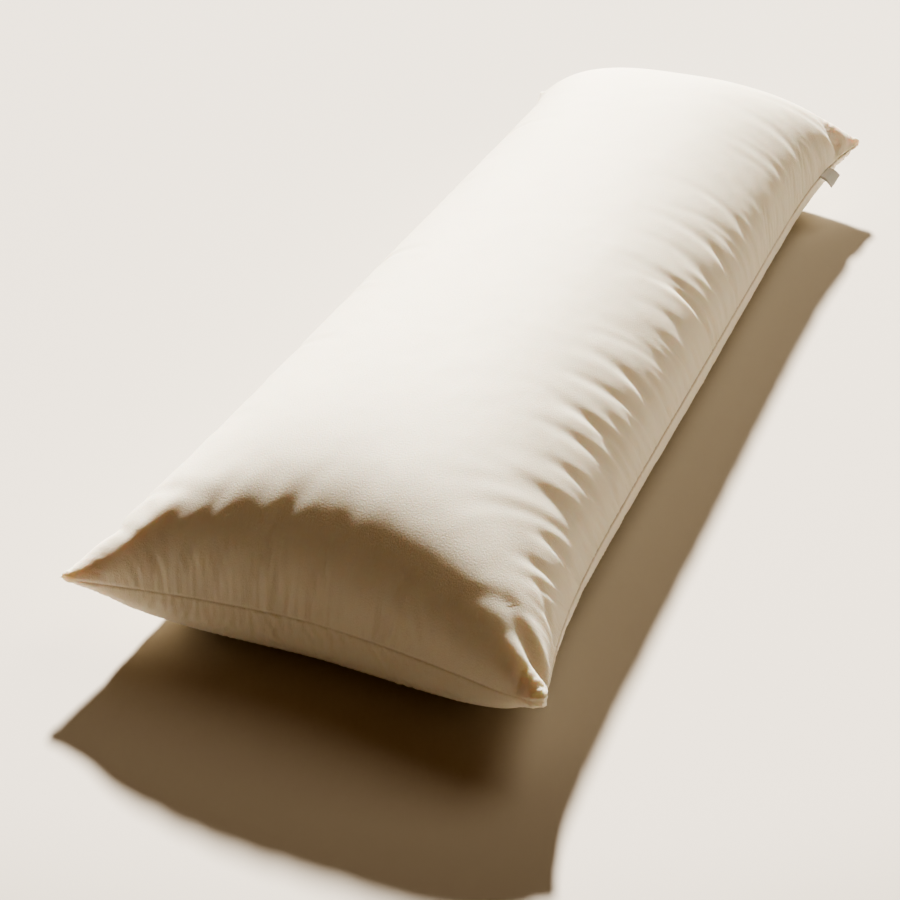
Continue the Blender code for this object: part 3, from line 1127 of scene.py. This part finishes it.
line = tape_line()
heading = np.gradient(line, axis=0)
heading /= np.linalg.norm(heading, axis=1, keepdims=True)
off = np.stack([-heading[:, 1], heading[:, 0]], axis=1) * TAPE_THICKNESS / 2
section = np.concatenate([line + off, (line - off)[::-1]])
walked = np.concatenate([[0], np.cumsum(np.linalg.norm(np.diff(line, axis=0), axis=1))])
section_walk = np.concatenate([walked, walked[::-1]])


# %% [markdown]
# ## Hanging the tape from the seam
#
# The tape's open end follows the seam, so its root points are read from the seam line at the
# label's place. From there it stands out square to the seam and droops by the square of the
# distance, as a strip does that is clamped at one end. One corner droops more than the other,
# and the edge curls, because no tape hangs quite straight.

# %% Label points
LABEL_DROOP = 0.0105
LABEL_CURL = 0.0012
LABEL_TWIST = 0.5  # how much more one corner droops than the middle
STATIONS = 15

# the right side's part of the seam, without its ears
right_seam = seam_points[(seam_points[:, 0] > 0.15) & (np.abs(seam_points[:, 1]) < 0.6)]
right_seam = right_seam[np.argsort(right_seam[:, 1])]
stations = np.linspace(-0.5, 0.5, STATIONS)
root_y = LABEL_MIDDLE + stations * LABEL_WIDTH
root = np.stack(
    [np.interp(root_y, right_seam[:, 1], right_seam[:, axis]) for axis in range(3)], axis=1
)
chord = (root[-1] - root[0]) / np.linalg.norm(root[-1] - root[0])
outward = np.cross(chord, (0, 0, 1))
upward = np.cross(outward, chord)
far_out = np.clip(section[:, 0] / LABEL_REACH, 0, 1)
label_points = []
for station, start in zip(stations, root):
    sag = LABEL_DROOP * far_out**2 * (1 - LABEL_TWIST * station)
    curl = LABEL_CURL * far_out * np.sin(math.pi * (station + 0.1)) ** 2
    up = section[:, 1] - sag + curl
    label_points.append(start + section[:, :1] * outward + up[:, None] * upward)
label_points = np.array(label_points)
print(f"label: its fold hangs at {label_points[..., 2].min():.3f} m above the floor")


# %% [markdown]
# ## The tape as a closed solid
#
# The section is carried from station to station like the ribs of a boat, and both ends are
# capped. The tape has a real thickness that way, so its cut edge catches light. Its map runs
# along the tape as it lies flat, so that the ribs of the weave turn round the fold with it.

# %% Label
def solid_strip(stations, around):
    """The points' numbers, and the faces between the sections, which each close on themselves."""
    index = np.arange(stations * around).reshape(stations, around)
    ring = np.concatenate([index, index[:, :1]], axis=1)
    return index, grid_quads(ring)


index, faces = solid_strip(*label_points.shape[:2])
half = len(line)
caps = [
    [int(end[i]), int(end[i + 1]), int(end[-2 - i]), int(end[-1 - i])]
    for end in (index[-1], index[0][::-1])
    for i in range(half - 1)
]
label = mesh_object(
    "side_label_tape", label_points.reshape(-1, 3), faces[:, ::-1].tolist() + caps
)
tape_place = np.stack(
    np.broadcast_arrays((stations * LABEL_WIDTH)[:, None], section_walk), axis=-1
).reshape(-1, 2)
label_corners = [vertex for face in label.data.polygons for vertex in face.vertices]
set_cloth_map(label, tape_place[label_corners])
print("label:", len(label.data.polygons), "faces")


# %% [markdown]
# ## Finishes made by rules
#
# A finish is a tree of nodes as well. A picture of cloth could be laid over the pillow instead,
# but it would blur close up and repeat further off. These helpers make the parts that every
# finish here uses: a bit of arithmetic, noise that is stretched along a grain, a value read
# from the mesh, and a blend of two colours.

# %% Finish helpers
def clear_nodes(material):
    material.use_nodes = True
    tree = material.node_tree
    for node in list(tree.nodes):
        if node.type != "OUTPUT_MATERIAL":
            tree.nodes.remove(node)
    return tree


def math_node(tree, operation, first, second=0.0):
    return add_node(tree, "ShaderNodeMath", {0: first, 1: second}, operation=operation).outputs[0]


def stretched(tree, place, scale):
    """The place, stretched for a texture whose grain runs one way."""
    return add_node(
        tree, "ShaderNodeVectorMath", {0: place, 1: scale}, operation="MULTIPLY"
    ).outputs[0]


def noise(tree, place, scale, detail=2.0, roughness=0.5):
    made = add_node(
        tree,
        "ShaderNodeTexNoise",
        {
            "Vector": stretched(tree, place, scale),
            "Scale": 1,
            "Detail": detail,
            "Roughness": roughness,
        },
    )
    return made.outputs["Fac"]


def attribute(tree, name):
    return add_node(tree, "ShaderNodeAttribute", attribute_name=name).outputs["Fac"]


def blend(tree, share, first, second):
    """The first colour where the share is 0, and the second where it is 1."""
    # the node keeps sockets for every kind of data; the colours are inputs 6 and 7, output 2
    made = add_node(tree, "ShaderNodeMix", {0: share, 6: first, 7: second}, data_type="RGBA")
    return made.outputs[2]


def surface_of(tree, inputs):
    """A surface shader with the given inputs, joined to the material's output."""
    surface = add_node(tree, "ShaderNodeBsdfPrincipled", inputs)
    tree.links.new(surface.outputs[0], tree.nodes["Material Output"].inputs["Surface"])


cover_finish = bpy.data.materials.new("cotton sateen")
tree = clear_nodes(cover_finish)
print("nodes left in the first finish:", [node.name for node in tree.nodes])


# %% [markdown]
# ## Heights in metres
#
# Cloth is never smooth: its threads, its thick places and its fuzz all stand up from it by some
# height. Each helper here gives a value from 0 to 1, and the value is multiplied by its height
# in metres before all of them are added up. Bump then needs no tuning by eye: 0.1 mm stays
# 0.1 mm however the pillow is lit.

# %% Height helpers
WARP_PITCH, WARP_HEIGHT = 0.00042, 0.00003
WEFT_PITCH, WEFT_HEIGHT = 0.0011, 0.00002


def thread_lines(tree, coordinate, pitch):
    """Round threads side by side, from 0 between two to 1 on top of one."""
    turned = math_node(tree, "MULTIPLY", coordinate, math.pi / pitch)
    return math_node(tree, "ABSOLUTE", math_node(tree, "SINE", turned))


def fade(tree, distance, reach):
    """1 at distance 0, a third of that one reach away, and next to 0 three reaches away."""
    share = math_node(tree, "DIVIDE", distance, -reach)
    return math_node(tree, "EXPONENT", share)


def height_sum(tree, parts):
    """Heights in metres from (value from 0 to 1, metres) pairs."""
    total = 0.0
    for value, metres in parts:
        total = math_node(tree, "ADD", math_node(tree, "MULTIPLY", value, metres), total)
    return total


def bump(tree, height):
    made = add_node(tree, "ShaderNodeBump", {"Height": height, "Distance": 1.0, "Strength": 1.0})
    return made.outputs["Normal"]


print(f"the warp has {0.01 / WARP_PITCH:.0f} threads to the centimetre")


# %% [markdown]
# ## Cotton sateen
#
# Sateen's face is nearly all warp: long floats of fine cotton that lie side by side, so it
# looks smooth with a soft, directional bloom. Close up there are thin lines, uneven where a
# thread is thicker, and a short fuzz that catches light where it comes in flat. Along the
# seam the needle has drawn the cloth into ripples a few millimetres wide.

# %% Cloth heights
SLUB_HEIGHT = 0.00007  # thick places in a thread
FUZZ_HEIGHT = 0.00045
SOFT_HEIGHT = 0.0020  # the lumps of the filling under the cloth
SIDE_RIPPLE_REACH, SIDE_RIPPLE_HEIGHT = 0.022, 0.0028
END_RIPPLE_REACH, END_RIPPLE_HEIGHT = 0.016, 0.0016

place = add_node(tree, "ShaderNodeUVMap", uv_map="cloth").outputs["UV"]
across_cloth, along_cloth, _ = add_node(tree, "ShaderNodeSeparateXYZ", {0: place}).outputs
from_side, from_end = attribute(tree, "to_side"), attribute(tree, "to_end")

slubs = noise(tree, place, (900, 55, 1))
fuzz = noise(tree, place, (640, 520, 1), detail=4, roughness=0.6)
soft = noise(tree, place, (16, 11, 1), detail=2)
side_ripples = noise(tree, place, (14, 120, 1), detail=2)
end_ripples = noise(tree, place, (120, 14, 1), detail=2)
near_side = fade(tree, from_side, SIDE_RIPPLE_REACH)
near_end = fade(tree, from_end, END_RIPPLE_REACH)
cloth_height = height_sum(
    tree,
    [
        (thread_lines(tree, across_cloth, WARP_PITCH), WARP_HEIGHT),
        (thread_lines(tree, along_cloth, WEFT_PITCH), WEFT_HEIGHT),
        (slubs, SLUB_HEIGHT),
        (fuzz, FUZZ_HEIGHT),
        (soft, SOFT_HEIGHT),
        (math_node(tree, "MULTIPLY", side_ripples, near_side), SIDE_RIPPLE_HEIGHT),
        (math_node(tree, "MULTIPLY", end_ripples, near_end), END_RIPPLE_HEIGHT),
    ],
)
print("cloth heights:", len(tree.nodes), "nodes")


# %% [markdown]
# ## Colour, and the painted shade in the valley
#
# Unbleached cotton is cream, a little lighter where a thread is thicker. The valley is
# narrower than the light can find its way into, so it reads as a thin brown line. The mesh
# has the valley's shape already. On top of that the valley is painted brown as painted shade,
# which only helps where a valley of one millimetre is smaller than a pixel, and like the shape
# it fades out at the tips.

# %% Cloth colour
CREAM, LIGHT_CREAM = (0.800, 0.745, 0.610, 1), (0.835, 0.785, 0.655, 1)
PAINTED_VALLEY_SHADE = (0.24, 0.16, 0.09, 1)
SIDE_SHADE_REACH, SIDE_SHADE = 0.0010, 0.75
END_SHADE_REACH, END_SHADE = 0.0008, 0.15
TIP_CLEAR = 0.012

# painted shade: the seam's valley is painted brown, fading out at the tips
to_tip = math_node(tree, "MAXIMUM", from_side, from_end)
side_painted_shade = math_node(tree, "MULTIPLY", fade(tree, from_side, SIDE_SHADE_REACH), SIDE_SHADE)
end_painted_shade = math_node(tree, "MULTIPLY", fade(tree, from_end, END_SHADE_REACH), END_SHADE)
valley_shade_share = math_node(
    tree,
    "MULTIPLY",
    math_node(tree, "MAXIMUM", side_painted_shade, end_painted_shade),
    math_node(tree, "SUBTRACT", 1.0, fade(tree, to_tip, TIP_CLEAR)),
)
# painted shade: the valley's brown is mixed into the cloth's cream
colour_with_painted_shade = blend(tree, valley_shade_share, blend(tree, slubs, CREAM, LIGHT_CREAM), PAINTED_VALLEY_SHADE)
print("cloth colour:", CREAM[:3], "to", LIGHT_CREAM[:3])


# %% [markdown]
# ## How the cloth takes light
#
# Fine cotton is matt with a low sheen from the fibre ends that stand up. It is also thin:
# light goes in, spreads through the fibres and comes out warmer beside the place where it
# went in. That is the subsurface part, and it is what softens the edge between the sunny and
# the shaded cloth.

# %% Cloth surface
LEAST_ROUGH, FUZZ_ROUGH = 0.62, 0.14

fuzz_share = math_node(tree, "MULTIPLY", fuzz, FUZZ_ROUGH)
roughness = math_node(tree, "ADD", fuzz_share, LEAST_ROUGH)
surface_of(
    tree,
    {
        "Base Color": colour_with_painted_shade,
        "Roughness": roughness,
        "Specular IOR Level": 0.35,
        "Sheen Weight": 0.12,
        "Sheen Roughness": 0.45,
        "Sheen Tint": (1.0, 0.95, 0.88, 1),
        "Subsurface Weight": 0.40,
        "Subsurface Radius": (1.0, 0.62, 0.38),
        "Subsurface Scale": 0.022,
        "Normal": bump(tree, cloth_height),
    },
)
cover.data.materials.append(cover_finish)
print("cover finish:", len(tree.nodes), "nodes")


# %% [markdown]
# ## Satin tape
#
# Satin tape is woven narrow, from bright filament. It has a fine rib across, a firmer woven
# edge on both sides and more shine than cotton, and its shine is stretched because the filaments
# all run one way. It could take the cover's finish in another colour, but beside the matt cotton
# it is the shine that tells it apart.

# %% Label finish
SELVEDGE = 0.0016  # the firm woven edge
RIB_PITCH, RIB_HEIGHT = 0.00045, 0.00003
FILAMENT_PITCH, FILAMENT_HEIGHT = 0.00030, 0.00001
SELVEDGE_HEIGHT = 0.00006
TAPE_UNEVEN = 0.00010
TAPE_GREY, TAPE_WHITE = (0.80, 0.785, 0.76, 1), (0.87, 0.86, 0.84, 1)

label_finish = bpy.data.materials.new("satin tape")
tree = clear_nodes(label_finish)
place = add_node(tree, "ShaderNodeUVMap", uv_map="cloth").outputs["UV"]
across_tape, along_tape, _ = add_node(tree, "ShaderNodeSeparateXYZ", {0: place}).outputs
from_middle = math_node(tree, "ABSOLUTE", across_tape)
woven_edge = math_node(tree, "GREATER_THAN", from_middle, LABEL_WIDTH / 2 - SELVEDGE)
tape_height = height_sum(
    tree,
    [
        (thread_lines(tree, along_tape, RIB_PITCH), RIB_HEIGHT),
        (thread_lines(tree, across_tape, FILAMENT_PITCH), FILAMENT_HEIGHT),
        (woven_edge, SELVEDGE_HEIGHT),
        (noise(tree, place, (300, 300, 1), detail=3), TAPE_UNEVEN),
    ],
)
surface_of(
    tree,
    {
        "Base Color": blend(tree, noise(tree, place, (90, 500, 1)), TAPE_GREY, TAPE_WHITE),
        "Roughness": 0.42,
        "Specular IOR Level": 0.5,
        "Anisotropic": 0.5,
        "Sheen Weight": 0.08,
        "Subsurface Weight": 0.08,
        "Subsurface Scale": 0.002,
        "Normal": bump(tree, tape_height),
    },
)
label.data.materials.append(label_finish)
print("label finish:", len(tree.nodes), "nodes")


# %% [markdown]
# ## Sewing thread
#
# The thread is cotton in the colour of the cover. It is painted a shade deeper: partly as
# painted shade for the valley it lies in, partly for the tight twist of its plies. A stitch is
# 2 mm long, so a slight unevenness is all that shows of the twist, and modelling the plies
# would be wasted.

# %% Thread finish
# painted shade: the thread is darker than the cover partly for the valley it lies in
THREAD_CREAM_WITH_PAINTED_SHADE = (0.66, 0.56, 0.43, 1)
PLY_HEIGHT = 0.00008

tree = clear_nodes(thread_finish)
place = add_node(tree, "ShaderNodeTexCoord").outputs["Object"]
plies = noise(tree, place, (3500, 3500, 900), detail=1)
surface_of(
    tree,
    {
        "Base Color": THREAD_CREAM_WITH_PAINTED_SHADE,
        "Roughness": 0.6,
        "Sheen Weight": 0.15,
        "Normal": bump(tree, height_sum(tree, [(plies, PLY_HEIGHT)])),
    },
)
print("finishes:", [material.name for material in (cover_finish, label_finish, thread_finish)])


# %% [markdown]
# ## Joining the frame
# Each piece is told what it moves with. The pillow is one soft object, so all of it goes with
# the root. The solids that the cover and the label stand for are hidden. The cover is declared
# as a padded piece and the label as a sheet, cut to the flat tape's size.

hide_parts("cushion")
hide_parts("side_label")
for piece, slot in ((cover, "cotton_sateen"), (stitches, "cotton_sateen"), (label, "satin_tape")):
    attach(piece, "root")
for piece in (cover, stitches, label):
    triangles = sum(len(face.vertices) - 2 for face in piece.data.polygons)
    print(f"{piece.name}: {triangles} triangles")


# %% [markdown]
# ## The floor
#
# The pillow lies on a pale floor. Beyond the camera's view the floor is painted dark: painted
# shade that stands for an unlit room round a window's patch of light. A bright floor all round
# would throw so much light back up that the shaded end would look lit.

# %% Floor
# painted shade: outside a pool round this middle the floor is painted dark
PAINTED_POOL_MIDDLE = (-0.3, 0.4, 0)
PAINTED_POOL_RADIUS, PAINTED_SHADE_RADIUS = 1.22, 1.8
PALE_FLOOR, PAINTED_SHADE_FLOOR = (0.64, 0.60, 0.54, 1), (0.08, 0.069, 0.053, 1)
FLOOR_EDGE = 6  # from the middle

quarters = ((-1, -1), (1, -1), (1, 1), (-1, 1))
floor_corners = [(x * FLOOR_EDGE, y * FLOOR_EDGE, 0) for x, y in quarters]
floor = mesh_object("floor", floor_corners, [(0, 1, 2, 3)])
floor_finish = bpy.data.materials.new("pale floor with painted shade")
tree = clear_nodes(floor_finish)
spot = add_node(tree, "ShaderNodeTexCoord").outputs["Object"]
distance = add_node(
    tree, "ShaderNodeVectorMath", {0: spot, 1: PAINTED_POOL_MIDDLE}, operation="DISTANCE"
).outputs["Value"]
painted_dimming = add_node(
    tree,
    "ShaderNodeMapRange",
    {"Value": distance, "From Min": PAINTED_POOL_RADIUS, "From Max": PAINTED_SHADE_RADIUS},
    interpolation_type="SMOOTHSTEP",
).outputs["Result"]
# painted shade: the pale floor blends into its dark painted surround
floor_with_painted_shade = blend(tree, painted_dimming, PALE_FLOOR, PAINTED_SHADE_FLOOR)
surface_of(tree, {"Base Color": floor_with_painted_shade, "Roughness": 0.9, "Specular IOR Level": 0.2})
floor.data.materials.append(floor_finish)
print("floor: bright within", PAINTED_POOL_RADIUS, "m")


# %% [markdown]
# ## The lamps
#
# A low sun stands behind the pillow's left shoulder, so that its light skims the crown and
# every crease of the long side shows. A sun's rays are parallel, and the light is therefore
# even from one end of the pillow to the other, which a lamp close by can't give. A large weak
# lamp on the right and a dim warm sky keep the shaded sides readable.

# %% Lamps
def aimed(obj, place, target):
    obj.location = place
    obj.rotation_euler = (Vector(target) - Vector(place)).to_track_quat("-Z", "Y").to_euler()
    bpy.context.scene.collection.objects.link(obj)


sun = bpy.data.lights.new("key", "SUN")
sun.energy = 7.0
sun.angle = math.radians(4)
sun.color = (1.0, 0.955, 0.895)
aimed(bpy.data.objects.new("key", sun), (-1.5, 3.4, 2.35), (0, 0, 0.13))

soft_box = bpy.data.lights.new("fill", "AREA")
soft_box.shape = "DISK"
soft_box.size = 2.0
soft_box.energy = 15
soft_box.color = (1.0, 0.92, 0.74)
aimed(bpy.data.objects.new("fill", soft_box), (1.15, 1.2, 2.85), (0.2, -0.1, 0.0))

world = bpy.data.worlds.new("studio")
world.use_nodes = True
world.node_tree.nodes["Background"].inputs["Color"].default_value = (1.0, 0.48, 0.13, 1)
world.node_tree.nodes["Background"].inputs["Strength"].default_value = 0.043
bpy.context.scene.world = world

print("lamps:", sun.name, "and", soft_box.name)


# %% [markdown]
# ## The camera
#
# The camera looks down along the pillow from beyond its near end. Its aim is written as two
# angles, which are easier to read and to change than a target point. The tone curve has a
# high contrast, like a bright window in a dim room.

# %% Camera
YAW, PITCH = math.radians(22.55), math.radians(32.99)
CAMERA_PLACE = Vector((0.597, -1.720, 1.070))
ahead = Vector(
    (-math.sin(YAW) * math.cos(PITCH), math.cos(YAW) * math.cos(PITCH), -math.sin(PITCH))
)
lens = bpy.data.cameras.new("camera")
lens.lens = 70.5
lens.sensor_width = 36
camera = bpy.data.objects.new("camera", lens)
aimed(camera, CAMERA_PLACE, CAMERA_PLACE + ahead)
bpy.context.scene.camera = camera
look = bpy.context.scene.view_settings
look.view_transform = "AgX"
look.look = "AgX - High Contrast"
look.exposure = 0.9
print("camera", round((CAMERA_PLACE - Vector((0, 0, 0.1))).length, 2), "m from the pillow")
